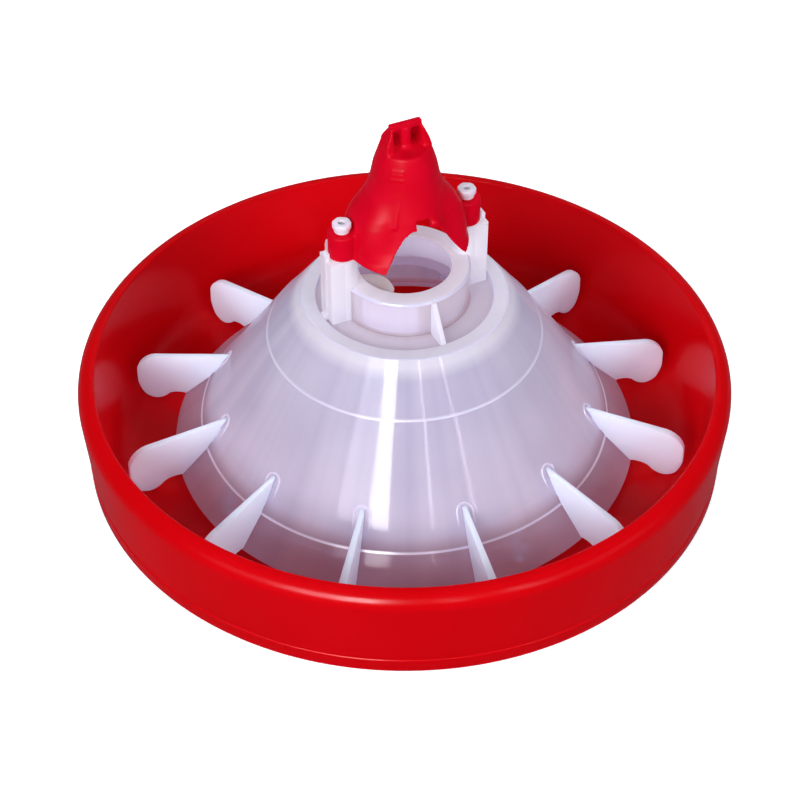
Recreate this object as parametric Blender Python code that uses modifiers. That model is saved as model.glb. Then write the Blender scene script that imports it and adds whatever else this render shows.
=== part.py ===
"""Poultry pan feeder: a deep red pan with a rolled rim, a stepped translucent cone standing in it,
twelve fins that keep birds out of the trough, and a red saddle that straddles the auger tube.
Metres, +Z up, the pan rests on the plane z = 0 and the axis of the feeder is the Z axis."""
import math

import bmesh
import bpy
from mathutils import Matrix, Vector

# Pan
PAN_OD = 0.500            # outside of the rolled rim
PAN_HEIGHT = 0.0912       # top of the rim
PAN_WALL = 0.003
RIM_WIDTH = 0.0124        # the roll, across
RIM_SHOULDER = 0.009      # radius of the roll's outer side
APRON_BOTTOM = 0.015      # lower edge of the outer wall
FLOOR_TOP = 0.009         # inside of the pan floor
FOOT_INSET = 0.0265       # from the inner wall's foot in to the ring the pan stands on
TROUGH_CORNER = 0.020     # inside radius between floor and wall

# Cone
CONE_WALL = 0.0025
HUB_RISE = 0.0269         # top of the feed ring over the flange
HUB_INSET = 0.00075       # hub wall inside the posts' axes
FEED_HOLE = 0.070
FLANGE_Z = 0.1563         # flat lip round the top of the cone
FLANGE_MARGIN = 0.00625   # from the posts out to the flange
FLANGE_WIDTH = 0.01115
WEB_DROP = 0.003          # web between hub and flange, below the lip
BELT_RUN = 0.0276         # from the flange out to the upper step line
BELT_Z = 0.1206
TROUGH = 0.0463           # from the inner wall's foot in to the edge of the skirt
SKIRT_RUN = 0.0218        # from the edge of the skirt in to the lower step line
LOW_Z = 0.0396
SKIRT_Z = 0.018
STEP = 0.0014             # how far each step line stands out
POST_RADIUS = 0.011       # the posts stand on the X axis
POST_SPACING = 0.100
FOOT_COUNT = 4
PEG_D = 0.006             # each foot's peg through the pan floor
GUIDE_FROM = -165.0       # degrees, the feed guide inside the hub
GUIDE_TO = -91.0
LIP_TO = -133.0           # its lip runs from GUIDE_FROM to here

# Fins
FIN_COUNT = 12
FIN_FIRST = -7.4          # degrees, azimuth of one fin
FIN_TOP = 0.0655          # where the top edge leaves the cone
FIN_CLEAR = 0.0062        # between the tip and the inner wall's foot
FIN_THICK = 0.0062
TANG_THICK = 0.003

# Saddle
SADDLE_WALL = 0.0028
POST_RISE = 0.0248        # saddle's lower edge over the feed ring
CROWN_RISE = 0.0536       # crown over the top of the arch
BAR_RISE = 0.0195         # top of the hanging bar over the crown
LUG_RADIUS = 0.0106
LUG_HEIGHT = 0.0210
TUBE_OD = 0.045           # auger tube the saddle straddles
ARCH_GAP = 0.0045         # all round the tube
BAR_LENGTH = 0.0245
CROWN_RADIUS = 0.0178
LEG_NOTCH = 27.0          # degrees from a lug to the notch beside it
BELL_STRETCH = 0.12       # how much wider the bell's foot is along the tube
FLANK_WIDTH = 0.026       # of the hollow flanks that fall from the bell to the lugs

# Bolts and nuts
BOLT_D = 0.005
NUT_D = 0.0146
NUT_HEIGHT = 0.0076

GAP = 0.0003              # between pieces that meet
SEGMENTS = 72

for old in list(bpy.data.objects):
    bpy.data.objects.remove(old, do_unlink=True)

feeder = bpy.data.collections.new("poultry pan feeder")
cutters = bpy.data.collections.new("cutters")
bpy.context.scene.collection.children.link(feeder)
bpy.context.scene.collection.children.link(cutters)
cutters.hide_render = True


def material(name, rgb, rough, transmission=0.0):
    m = bpy.data.materials.new(name)
    m.use_nodes = True
    bsdf = m.node_tree.nodes["Principled BSDF"]
    bsdf.inputs["Base Color"].default_value = (*rgb, 1.0)
    bsdf.inputs["Roughness"].default_value = rough
    bsdf.inputs["Transmission Weight"].default_value = transmission
    return m


def place(mesh, name, mat=None):
    ob = bpy.data.objects.new(name, mesh)
    if mat is None:
        cutters.objects.link(ob)
        ob.hide_render = True
        ob.display_type = "WIRE"
    else:
        feeder.objects.link(ob)
        mesh.materials.append(mat)
    return ob


def bake(ob, angle=35.0):
    """Replaces the mesh by its evaluated form and shades it smooth with sharp edges kept."""
    deps = bpy.context.evaluated_depsgraph_get()
    mesh = bpy.data.meshes.new_from_object(ob.evaluated_get(deps))
    ob.modifiers.clear()
    ob.data = mesh
    mesh.shade_smooth()
    mesh.set_sharp_from_angle(angle=math.radians(angle))
    return ob


def turned(name, profile, mat=None, closed=True, steps=SEGMENTS):
    """A turned body. The profile runs down its outer side, radius and height, and back up inside."""
    mesh = bpy.data.meshes.new(name)
    bm = bmesh.new()
    verts = [bm.verts.new((r, 0.0, z)) for r, z in profile]
    for a, b in zip(verts, verts[1:]):
        bm.edges.new((a, b))
    if closed:
        bm.edges.new((verts[-1], verts[0]))
    bm.to_mesh(mesh)
    bm.free()
    ob = place(mesh, name, mat)
    screw = ob.modifiers.new("turn", "SCREW")
    screw.angle = math.tau
    screw.steps = screw.render_steps = steps
    screw.use_merge_vertices = True
    screw.merge_threshold = 0.00001
    screw.use_normal_calculate = True
    return ob


def plate(name, outline, thick, mat=None, azimuth=0.0, bevel=0.0, taper=None):
    """An upright plate along a radius. The outline is radius and height, thick is across it."""
    mesh = bpy.data.meshes.new(name)
    bm = bmesh.new()
    face = bm.faces.new([bm.verts.new((r, -thick / 2, z)) for r, z in outline])
    out = bmesh.ops.extrude_face_region(bm, geom=[face])
    moved = [g for g in out["geom"] if isinstance(g, bmesh.types.BMVert)]
    bmesh.ops.translate(bm, verts=moved, vec=(0.0, thick, 0.0))
    if taper:
        for v in bm.verts:
            v.co.y *= taper(v.co.x, v.co.z)
    bmesh.ops.recalc_face_normals(bm, faces=bm.faces)
    if bevel:
        rims = [e for e in bm.edges if abs(e.verts[0].co.y) > 1e-6
                and e.verts[0].co.y * e.verts[1].co.y > 0]
        bmesh.ops.bevel(bm, geom=rims, offset=bevel, segments=1, affect="EDGES")
    bmesh.ops.rotate(bm, verts=bm.verts, cent=(0, 0, 0), matrix=Matrix.Rotation(azimuth, 3, "Z"))
    bm.to_mesh(mesh)
    bm.free()
    return place(mesh, name, mat)


def rod(name, radius, z0, z1, x=0.0, y=0.0, sides=32):
    """An upright cylinder from z0 to z1."""
    mesh = bpy.data.meshes.new(name)
    bm = bmesh.new()
    bmesh.ops.create_cone(bm, cap_ends=True, segments=sides, radius1=radius, radius2=radius,
                          depth=z1 - z0, matrix=Matrix.Translation((x, y, (z0 + z1) / 2)))
    bm.to_mesh(mesh)
    bm.free()
    return place(mesh, name)


def block(name, size, centre, azimuth=0.0):
    mesh = bpy.data.meshes.new(name)
    bm = bmesh.new()
    bmesh.ops.create_cube(bm, size=1.0, matrix=Matrix.Diagonal((*size, 1.0)))
    bmesh.ops.translate(bm, verts=bm.verts, vec=centre)
    bmesh.ops.rotate(bm, verts=bm.verts, cent=(0, 0, 0), matrix=Matrix.Rotation(azimuth, 3, "Z"))
    bm.to_mesh(mesh)
    bm.free()
    return place(mesh, name)


def combine(ob, other, how):
    mod = ob.modifiers.new(how.lower(), "BOOLEAN")
    mod.operation = how
    mod.solver = "EXACT"
    mod.object = other


def arc(cx, cz, radius, a0, a1, count):
    out = []
    for i in range(count + 1):
        a = math.radians(a0 + (a1 - a0) * i / count)
        out.append((cx + radius * math.cos(a), cz + radius * math.sin(a)))
    return out


def polar(radius, degrees):
    return radius * math.cos(math.radians(degrees)), radius * math.sin(math.radians(degrees))


def inset(line, thick):
    """The same open line moved to its right-hand side by thick, with mitred corners."""
    normals = []
    for (r0, z0), (r1, z1) in zip(line, line[1:]):
        d = Vector((r1 - r0, z1 - z0)).normalized()
        normals.append(Vector((d.y, -d.x)))
    out = []
    for i, (r, z) in enumerate(line):
        a = normals[max(i - 1, 0)]
        b = normals[min(i, len(normals) - 1)]
        m = (a + b) / (1.0 + a.dot(b))
        out.append((r + m.x * thick, z + m.y * thick))
    return out


red_pan = material("pan red PP", (0.60, 0.006, 0.010), 0.22)
red_saddle = material("saddle red PP", (0.70, 0.012, 0.024), 0.32)
clear_pp = material("natural PP", (0.80, 0.77, 0.83), 0.35, 0.35)
fin_pp = material("fin white PP", (0.74, 0.70, 0.78), 0.40)
guide_pp = material("guide white PP", (0.82, 0.80, 0.78), 0.45)
nut_pa = material("nut white PA", (0.86, 0.84, 0.87), 0.40)
steel = material("zinc plated steel", (0.56, 0.57, 0.58), 0.35)

# Pan: floor, trough corner, inner wall, rolled rim and the outer wall, one turned section.
roll_r = RIM_WIDTH - RIM_SHOULDER
roll_c = (PAN_OD / 2 - RIM_WIDTH + roll_r, PAN_HEIGHT - roll_r)
shoulder_c = (PAN_OD / 2 - RIM_SHOULDER, PAN_HEIGHT - RIM_SHOULDER)
wall_top = roll_c[0] - roll_r
wall_low = wall_top - 0.0081
corner = (wall_low - TROUGH_CORNER, FLOOR_TOP + TROUGH_CORNER)
floor_low = FLOOR_TOP - PAN_WALL
line_z = APRON_BOTTOM + 0.015
foot_w = 0.006
foot_r = wall_low - FOOT_INSET
pan_profile = [(0.0, FLOOR_TOP)]
pan_profile += arc(*corner, TROUGH_CORNER, -90, 0, 5)
pan_profile += arc(*roll_c, roll_r, 180, 90, 4) + arc(*shoulder_c, RIM_SHOULDER, 90, 0, 5)[1:]
pan_profile += [(PAN_OD / 2 - 0.0016, line_z + 0.0012), (PAN_OD / 2 - 0.0022, line_z),
                (PAN_OD / 2 - 0.0027, APRON_BOTTOM),
                (PAN_OD / 2 - 0.0027 - PAN_WALL, APRON_BOTTOM)]
pan_profile += arc(*shoulder_c, RIM_SHOULDER - PAN_WALL, 0, 90, 3)
pan_profile += [(wall_top + PAN_WALL, PAN_HEIGHT - PAN_WALL - 0.0004)]
pan_profile += arc(*corner, TROUGH_CORNER + PAN_WALL, 0, -68, 3)
pan_profile += [(foot_r + foot_w, floor_low), (foot_r + foot_w / 2, 0.0),
                (foot_r - foot_w / 2, 0.0), (foot_r - foot_w / 2, floor_low),
                (0.0, floor_low)]
pan = turned("pan", pan_profile, red_pan, closed=False)

# The cone's four feet go through the pan floor, so the pan has a hole for each.
skirt_r = wall_low - TROUGH
low_r = skirt_r - SKIRT_RUN
foot_wall = low_r + 0.001 - CONE_WALL / 2
peg_r = PEG_D / 2
between_fins = FIN_FIRST + 180 / FIN_COUNT
foot_places = [polar(foot_wall, between_fins + i * 360 / FOOT_COUNT) for i in range(FOOT_COUNT)]
for i, (x, y) in enumerate(foot_places):
    combine(pan, rod("peg hole %d" % (i + 1), peg_r + GAP, -0.002, FLOOR_TOP + 0.004, x, y, 16),
            "DIFFERENCE")
bake(pan)

# Cone: feed ring, hub wall, web, flange, two step lines and the skirt in one turned section.
hub_r = POST_SPACING / 2 - HUB_INSET
hub_top = FLANGE_Z + HUB_RISE
web_z = FLANGE_Z - WEB_DROP
flange_in = POST_SPACING / 2 + POST_RADIUS + FLANGE_MARGIN
flange_out = flange_in + FLANGE_WIDTH
belt_r = flange_out + BELT_RUN
saddle_low = hub_top + POST_RISE
outer = [(FEED_HOLE / 2, hub_top), (hub_r, hub_top), (hub_r, web_z), (flange_in, web_z),
         (flange_in, FLANGE_Z), (flange_out, FLANGE_Z)]
slope_1 = [(flange_out, FLANGE_Z), (belt_r - STEP, BELT_Z + STEP)]
slope_2 = [(belt_r, BELT_Z), (low_r - STEP, LOW_Z + STEP)]
slope_3 = [(low_r, LOW_Z), (skirt_r, SKIRT_Z)]
outside = slope_1 + slope_2 + slope_3
inside = inset([slope_1[0], (belt_r - STEP / 2, BELT_Z), (low_r - STEP / 2, LOW_Z),
                slope_3[1]], CONE_WALL)
shelf_r = FEED_HOLE / 2 + 0.004
under = web_z - CONE_WALL
foot_top = inside[2]
ring_low = LOW_Z - 0.0075
cone_profile = outer[:-1] + outside
cone_profile += [inside[3], (foot_wall + CONE_WALL / 2, foot_top[1] - 0.0012),
                 (foot_wall + CONE_WALL / 2, ring_low), (foot_wall - CONE_WALL / 2, ring_low),
                 (foot_wall - CONE_WALL / 2, foot_top[1] + 0.0008)]
cone_profile += [inside[1], (flange_out - 0.0012, FLANGE_Z - CONE_WALL),
                 (flange_in + CONE_WALL, FLANGE_Z - CONE_WALL), (flange_in + CONE_WALL, under),
                 (shelf_r, under), (shelf_r, web_z), (hub_r - CONE_WALL, web_z),
                 (hub_r - CONE_WALL, hub_top - CONE_WALL), (FEED_HOLE / 2, hub_top - CONE_WALL)]
cone = turned("cone", cone_profile, clear_pp)

post_at = [(POST_SPACING / 2, 0.0), (-POST_SPACING / 2, 0.0)]
post_top = saddle_low - GAP
for i, (x, y) in enumerate(post_at):
    az = math.pi * i
    combine(cone, rod("post %d" % (i + 1), POST_RADIUS, web_z - 0.001, post_top, x, y, 32), "UNION")
    r_out = POST_SPACING / 2 + POST_RADIUS
    rib = plate("post rib %d" % (i + 1),
                [(r_out - 0.006, web_z - 0.001), (flange_in + 0.001, web_z - 0.001),
                 (flange_in + 0.001, FLANGE_Z - 0.001), (r_out + 0.0035, FLANGE_Z + 0.004),
                 (r_out + 0.0035, post_top + 0.004), (r_out + 0.0015, post_top + 0.006),
                 (r_out + 0.0004, post_top + 0.006), (r_out + 0.0004, post_top - 0.001),
                 (r_out - 0.006, post_top - 0.001)], 0.004, azimuth=az)
    combine(cone, rib, "UNION")
    web = plate("hub rib %d" % (i + 1),
                [(hub_r - 0.001, web_z - 0.001), (flange_in + 0.001, web_z - 0.001),
                 (flange_in + 0.001, FLANGE_Z - 0.0008), (hub_r + 0.0015, hub_top - 0.001),
                 (hub_r - 0.001, hub_top - 0.001)], 0.004, azimuth=az - math.pi / 2)
    combine(cone, web, "UNION")

# Each foot is a stud under the ring wall, its peg headed over below the pan floor.
for i, (x, y) in enumerate(foot_places):
    head = turned("foot %d" % (i + 1),
                  [(0.0, ring_low + 0.004), (0.006, ring_low + 0.004), (0.006, FLOOR_TOP + GAP),
                   (peg_r, FLOOR_TOP + GAP), (peg_r, floor_low - GAP),
                   (peg_r + 0.0015, floor_low - GAP), (peg_r + 0.001, floor_low - 0.0026),
                   (0.0, floor_low - 0.0026)], closed=False, steps=16)
    bake(head)
    head.data.transform(Matrix.Translation((x, y, 0.0)))
    combine(cone, head, "UNION")

# Slots for the fins' tangs and bores for the bolts.
tang_top = FIN_TOP - 0.008
tang_low = tang_top - 0.012


def on_cone(z):
    """Radius of the cone's outer face between the two step lines."""
    (r0, z0), (r1, z1) = slope_2
    return r0 + (r1 - r0) * (z - z0) / (z1 - z0)


fin_azimuths = [math.radians(FIN_FIRST + i * 360 / FIN_COUNT) for i in range(FIN_COUNT)]
slot_r = on_cone((tang_top + tang_low) / 2)
for i, az in enumerate(fin_azimuths):
    combine(cone, block("fin slot %d" % (i + 1),
                        (0.026, TANG_THICK + 2 * GAP, tang_top - tang_low + 2 * GAP),
                        (slot_r - 0.0015, 0.0, (tang_top + tang_low) / 2), az), "DIFFERENCE")
bore_r = BOLT_D / 2 + GAP
for i, (x, y) in enumerate(post_at):
    combine(cone, rod("post bore %d" % (i + 1), bore_r, under - 0.01, post_top + 0.01, x, y, 20),
            "DIFFERENCE")
bake(cone)

# Feed guide: a curved apron standing on the shelf inside the hub, with a lip at its top.
guide_out = hub_r - CONE_WALL - GAP
guide_in = guide_out - 0.0025
guide_low = web_z + GAP
guide_top = hub_top - CONE_WALL - GAP
mesh = bpy.data.meshes.new("feed_guide")
bm = bmesh.new()
start, stop, count = math.radians(GUIDE_FROM), math.radians(GUIDE_TO), 18
lip_to = math.radians(LIP_TO)
lip_low = guide_top - 0.0025
sections = []
for i in range(count + 1):
    t = i / count
    a = start + (stop - start) * t
    lift = 0.012 * max(0.0, abs(t - 0.5) * 2 - 0.72) / 0.28
    low = guide_low + (lift * lift / 0.012 if t > 0.5 else 0.0)
    sections.append([bm.verts.new((r * math.cos(a), r * math.sin(a), z)) for r, z in
                     ((guide_out, guide_top), (guide_out, low), (guide_in, low), (guide_in, guide_top))])
for s0, s1 in zip(sections, sections[1:]):
    for k in range(4):
        bm.faces.new((s0[k], s0[(k + 1) % 4], s1[(k + 1) % 4], s1[k]))
bm.faces.new(sections[0])
bm.faces.new(list(reversed(sections[-1])))
bmesh.ops.recalc_face_normals(bm, faces=bm.faces)
bm.to_mesh(mesh)
bm.free()
guide = place(mesh, "feed_guide", guide_pp)
mesh = bpy.data.meshes.new("guide lip")
bm = bmesh.new()
lip_r = FEED_HOLE / 2 - 0.010
pts = [(guide_in + 0.001, start + 0.01), (lip_r + 0.004, start + 0.01), (lip_r, start + 0.12)]
pts += [(lip_r, (start + lip_to) / 2), (lip_r, lip_to - 0.20), (lip_r + 0.002, lip_to - 0.08),
        (lip_r + 0.007, lip_to), (guide_in + 0.001, lip_to)]
face = bm.faces.new([bm.verts.new((r * math.cos(a), r * math.sin(a), lip_low)) for r, a in pts])
out = bmesh.ops.extrude_face_region(bm, geom=[face])
bmesh.ops.translate(bm, verts=[g for g in out["geom"] if isinstance(g, bmesh.types.BMVert)],
                    vec=(0, 0, guide_top - 0.0002 - lip_low))
bmesh.ops.recalc_face_normals(bm, faces=bm.faces)
bm.to_mesh(mesh)
bm.free()
combine(guide, place(mesh, "guide lip"), "UNION")
bake(guide)

# Fins: the top edge falls gently to the tip, the lobe rests on the pan floor and the inner edge
# lies along the cone down to the edge of the skirt.
fin_tip = wall_low - FIN_CLEAR
lobe_z = FLOOR_TOP + GAP
off = GAP * 1.6
skirt_dir = Vector((slope_3[1][0] - slope_3[0][0], slope_3[1][1] - slope_3[0][1])).normalized()
root_r = on_cone(FIN_TOP) + off
fall = FIN_TOP - lobe_z
reach = fin_tip - skirt_r - off
fin_line = [(root_r, FIN_TOP), (fin_tip - reach * 0.247, lobe_z + fall * 0.775),
            (fin_tip - reach * 0.101, lobe_z + fall * 0.705),
            (fin_tip - reach * 0.015, lobe_z + fall * 0.590),
            (fin_tip, lobe_z + fall * 0.36), (fin_tip - reach * 0.053, lobe_z + 0.0082),
            (fin_tip - reach * 0.167, lobe_z + 0.0027), (fin_tip - reach * 0.348, lobe_z),
            (fin_tip - reach * 0.520, lobe_z + 0.0023), (fin_tip - reach * 0.677, lobe_z + 0.0078),
            (fin_tip - reach * 0.758, lobe_z + 0.0100), (fin_tip - reach * 0.859, lobe_z + 0.0110),
            (skirt_r + off, SKIRT_Z + 0.0016),
            (skirt_r + off - skirt_dir.x * 0.0012, SKIRT_Z - skirt_dir.y * 0.0012),
            (low_r + off, LOW_Z), (low_r - STEP + off, LOW_Z + STEP + GAP)]
tang = [(on_cone(tang_low) + off, tang_low), (on_cone(tang_low) - CONE_WALL, tang_low),
        (on_cone(tang_top) - CONE_WALL, tang_top), (on_cone(tang_top) + off, tang_top)]
for i, az in enumerate(fin_azimuths):
    fin = plate("fin_%02d" % (i + 1), fin_line, FIN_THICK, fin_pp, az, bevel=0.0014,
                taper=lambda r, z: 0.60 + 0.40 * min(1.0, max(0.0, r - root_r) / 0.03))
    key = plate("tang %02d" % (i + 1),
                [(tang[0][0] + 0.006, tang_low), *tang, (tang[3][0] + 0.006, tang_top)],
                TANG_THICK, azimuth=az)
    combine(fin, key, "UNION")
    bake(fin)

# Saddle: a bell with an arch each way for the auger tube, a lug over each post, and on its flat
# crown the hanging bar, held by a stem and two side straps.
arch_r = TUBE_OD / 2 + ARCH_GAP
arch_z = saddle_low + 0.0004
crown_z = arch_z + arch_r + CROWN_RISE
saddle_top = crown_z + BAR_RISE
bar_low = saddle_top - 0.0048
half_bar = BAR_LENGTH / 2
bell_r = POST_SPACING / 2 - 0.004
bell_run, bell_rise = bell_r - CROWN_RADIUS, crown_z - saddle_low
bell_out = [(0.0, crown_z), (CROWN_RADIUS, crown_z), (CROWN_RADIUS + 0.0010, crown_z - 0.0010)]
bell_out += [(CROWN_RADIUS + bell_run * out, saddle_low + bell_rise * up) for out, up in (
    (0.0957, 0.9321), (0.1844, 0.8333), (0.2624, 0.6975), (0.3191, 0.5864), (0.3546, 0.5062),
    (0.3972, 0.4259), (0.4504, 0.3519), (0.5106, 0.2778), (0.5745, 0.2099), (0.6383, 0.1543),
    (0.7163, 0.1049), (0.8050, 0.0556), (0.9823, 0.0))]
flank_out = [(CROWN_RADIUS + bell_run * out, saddle_low + bell_rise * up) for out, up in (
    (0.3191, 0.5864), (0.4326, 0.5123), (0.6241, 0.4321), (0.7872, 0.3580), (0.9007, 0.2778),
    (0.9645, 0.1790), (1.0, 0.0))]
bell_in = inset(bell_out[3:], SADDLE_WALL)
flank_in = inset(flank_out, SADDLE_WALL)
lug_top = saddle_low + LUG_HEIGHT
waist_z = saddle_low + bell_rise * 0.66


def stretched(ob):
    """Widens a turned body along the tube, more and more below the waist."""
    bake(ob)
    bm = bmesh.new()
    bm.from_mesh(ob.data)
    for v in bm.verts:
        below = min(1.0, max(0.0, (waist_z - v.co.z) / (bell_rise * 0.22)))
        v.co.y *= 1.0 + BELL_STRETCH * below
    bmesh.ops.recalc_face_normals(bm, faces=bm.faces)
    bm.to_mesh(ob.data)
    bm.free()
    return ob


def flank(name, line, low, width):
    body = turned(name, [(0.0, line[0][1]), *line[:-1], (line[-1][0], low), (0.0, low)],
                  closed=False, steps=48)
    combine(body, block(name + " width", (0.2, width, 0.2), (0.0, 0.0, low + 0.1)), "INTERSECT")
    return body


core_low = saddle_low - 0.01
saddle = stretched(turned("saddle", bell_out + [(0.0, saddle_low)], red_saddle, closed=False, steps=48))
combine(saddle, flank("flank", flank_out, saddle_low, FLANK_WIDTH), "UNION")
core = [(0.0, bell_in[0][1]), *bell_in[:-1], (bell_in[-1][0], core_low), (0.0, core_low)]
combine(saddle, stretched(turned("bell core", core, closed=False, steps=48)), "DIFFERENCE")
combine(saddle, flank("flank core", flank_in, core_low, FLANK_WIDTH - 2 * SADDLE_WALL), "DIFFERENCE")
for i, (x, y) in enumerate(post_at):
    combine(saddle, rod("lug %d" % (i + 1), LUG_RADIUS, saddle_low, lug_top, x, y, 32), "UNION")

combine(saddle, rod("stem", 0.0035, crown_z - 0.001, bar_low + 0.001, 0.0, 0.0, 16), "UNION")
combine(saddle, block("bar", (BAR_LENGTH, 0.005, saddle_top - bar_low + 0.0004),
                      (0.0, 0.0, (saddle_top + bar_low - 0.0004) / 2)), "UNION")
strap_rise = bar_low - crown_z
strap_line = [(half_bar + 0.0003, crown_z - 0.001), (CROWN_RADIUS + 0.0002, crown_z - 0.001),
              (CROWN_RADIUS + 0.0002, crown_z + 0.0010), (CROWN_RADIUS - 0.0010, crown_z + strap_rise * 0.40),
              (CROWN_RADIUS - 0.0031, crown_z + strap_rise * 0.72), (half_bar - 0.0002, bar_low + 0.0008),
              (half_bar - 0.0018, bar_low + 0.0008)]
for i in range(2):
    combine(saddle, plate("strap %d" % (i + 1), strap_line, 0.0150, azimuth=math.pi * i,
                          taper=lambda r, z: 1.0 - 0.40 * max(0.0, z - crown_z) / strap_rise), "UNION")

flare = [(arch_r + 0.0090, saddle_low - 0.0050), (arch_r + 0.0036, saddle_low + 0.0003),
         (arch_r + 0.0012, saddle_low + 0.0026)]
arch_line = flare + [(arch_r * out, arch_z + arch_r * up) for out, up in (
    (0.970, 0.152), (0.859, 0.393), (0.748, 0.689), (0.593, 0.948), (0.389, 1.152))]
arch_line += [(-x, z) for x, z in reversed(arch_line)]
notch_top = arch_z + arch_r * 1.463
combine(saddle, plate("arch", arch_line, 0.140), "DIFFERENCE")
combine(saddle, block("arch notch", (0.0140, 0.140, 0.020), (0.0, 0.0, notch_top - 0.010)),
        "DIFFERENCE")
for i, side in enumerate((-1, 1, -1, 1)):
    az = 180 * (i // 2) + side * LEG_NOTCH
    x, y = polar(bell_r, az)
    scoop = rod("leg notch %d" % (i + 1), 0.0072, -0.010, 0.010, sides=20)
    turn = Matrix.Rotation(math.radians(az), 4, "Z") @ Matrix.Rotation(math.pi / 2, 4, "Y")
    scoop.data.transform(Matrix.Translation((x, y, saddle_low + 0.0003)) @ turn)
    combine(saddle, scoop, "DIFFERENCE")
for i, (x, y) in enumerate(post_at):
    combine(saddle, rod("lug bore %d" % (i + 1), bore_r, saddle_low - 0.01, lug_top + 0.01, x, y, 20),
            "DIFFERENCE")
bake(saddle)

# Bolts come up through the posts from below the web, the nuts close on the lugs.
nut_low = lug_top + GAP
nut_top = nut_low + NUT_HEIGHT
for i, (x, y) in enumerate(post_at):
    bolt = turned("bolt_%d" % (i + 1),
                  [(0.0, nut_top - 0.0016), (BOLT_D / 2 - 0.0006, nut_top - 0.0016),
                   (BOLT_D / 2, nut_top - 0.0024), (BOLT_D / 2, under - GAP),
                   (0.0045, under - GAP), (0.0045, under - 0.0030), (0.0036, under - 0.0042),
                   (0.0, under - 0.0042)], steel, closed=False, steps=20)
    bake(bolt)
    bolt.data.transform(Matrix.Translation((x, y, 0.0)))
    nut = turned("nut_%d" % (i + 1),
                 [(BOLT_D / 2 + GAP, nut_top), (NUT_D / 2 - 0.0014, nut_top),
                  (NUT_D / 2, nut_top - 0.0012), (NUT_D / 2, nut_low + 0.0030),
                  (NUT_D / 2 - 0.0016, nut_low + 0.0026), (NUT_D / 2 - 0.0016, nut_low),
                  (BOLT_D / 2 + GAP, nut_low)], nut_pa, steps=24)
    bake(nut)
    nut.data.transform(Matrix.Translation((x, y, 0.0)))
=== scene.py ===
"""Poultry pan feeder, dressed over its CAD frame: red pan, translucent cone, white fins and nuts,
off-white feed guide and the red saddle with its hanging bar. Metres, Z up, pan on z = 0."""
import math

import bmesh
import bpy
from mathutils import Matrix, Vector


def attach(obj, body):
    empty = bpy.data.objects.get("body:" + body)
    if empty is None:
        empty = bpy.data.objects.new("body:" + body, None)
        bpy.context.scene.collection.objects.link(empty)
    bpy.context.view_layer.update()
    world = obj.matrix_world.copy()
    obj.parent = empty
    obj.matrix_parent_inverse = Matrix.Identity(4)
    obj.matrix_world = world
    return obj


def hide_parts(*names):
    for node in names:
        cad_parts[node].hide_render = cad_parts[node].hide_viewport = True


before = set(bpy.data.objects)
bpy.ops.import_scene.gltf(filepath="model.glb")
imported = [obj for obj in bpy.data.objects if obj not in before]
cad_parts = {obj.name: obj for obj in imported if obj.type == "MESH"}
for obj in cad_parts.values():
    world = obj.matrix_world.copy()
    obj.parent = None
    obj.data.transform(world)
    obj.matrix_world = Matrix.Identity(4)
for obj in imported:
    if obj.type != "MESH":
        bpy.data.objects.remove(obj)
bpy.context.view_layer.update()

# Camera: above the left front, looking down at 42.5 degrees, with a long lens as in the photograph.
camera = bpy.data.objects.new("camera", bpy.data.cameras.new("camera"))
bpy.context.scene.collection.objects.link(camera)
camera.data.sensor_width = 36.0
camera.data.lens = 81.9
camera.data.clip_end = 50.0
camera.location = (-0.4540, -0.9654, 1.0227)
look = Vector((-0.0032, 0.0015, 0.0451)) - camera.location
camera.rotation_euler = look.to_track_quat("-Z", "Y").to_euler()
bpy.context.scene.camera = camera
bpy.context.scene.view_settings.view_transform = "Standard"


# Pan: one deep red polypropylene moulding. The inner wall rolls over into the outer wall, which
# hangs down outside it; it is glossy from a polished mould.
def linear(code):
    """A hex sRGB colour as linear red, green, blue and alpha."""
    out = []
    for i in (0, 2, 4):
        c = int(code[i:i + 2], 16) / 255.0
        out.append(c / 12.92 if c <= 0.04045 else ((c + 0.055) / 1.055) ** 2.4)
    return (*out, 1.0)


def add(tree, kind, inputs=None, **settings):
    """Adds one shader node. An input is a value or the socket that feeds it."""
    made = tree.nodes.new("ShaderNode" + kind)
    for key, value in settings.items():
        setattr(made, key, value)
    for key, value in (inputs or {}).items():
        if isinstance(value, bpy.types.NodeSocket):
            tree.links.new(value, made.inputs[key])
        else:
            made.inputs[key].default_value = value
    return made


def new_material(name):
    """An empty node material and its tree."""
    made = bpy.data.materials.new(name)
    made.use_nodes = True
    made.node_tree.nodes.clear()
    return made, made.node_tree


def put(bm, name, *materials):
    """Turns a bmesh into an object with its materials."""
    mesh = bpy.data.meshes.new(name)
    bm.to_mesh(mesh)
    bm.free()
    piece = bpy.data.objects.new(name, mesh)
    bpy.context.scene.collection.objects.link(piece)
    for one in materials:
        mesh.materials.append(one)
    return piece


def outline(bm, corners, closed=True):
    """A line of radius and height in the XZ plane; a corner's third number rounds it."""
    verts = [bm.verts.new((c[0], 0.0, c[1])) for c in corners]
    for a, b in zip(verts, verts[1:]):
        bm.edges.new((a, b))
    if closed:
        bm.edges.new((verts[-1], verts[0]))
    for v, c in zip(verts, corners):
        if len(c) > 2:
            bmesh.ops.bevel(bm, geom=[v], offset=c[2], offset_type="OFFSET", segments=5,
                            profile=0.5, affect="VERTICES", material=-1)


def turn(bm, steps=192):
    """Spins all that is in the bmesh round the Z axis and closes it."""
    bmesh.ops.spin(bm, geom=bm.verts[:] + bm.edges[:], cent=(0, 0, 0), axis=(0, 0, 1),
                   angle=math.tau, steps=steps, use_merge=True)
    bmesh.ops.remove_doubles(bm, verts=bm.verts, dist=0.00001)
    bmesh.ops.recalc_face_normals(bm, faces=bm.faces)


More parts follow.
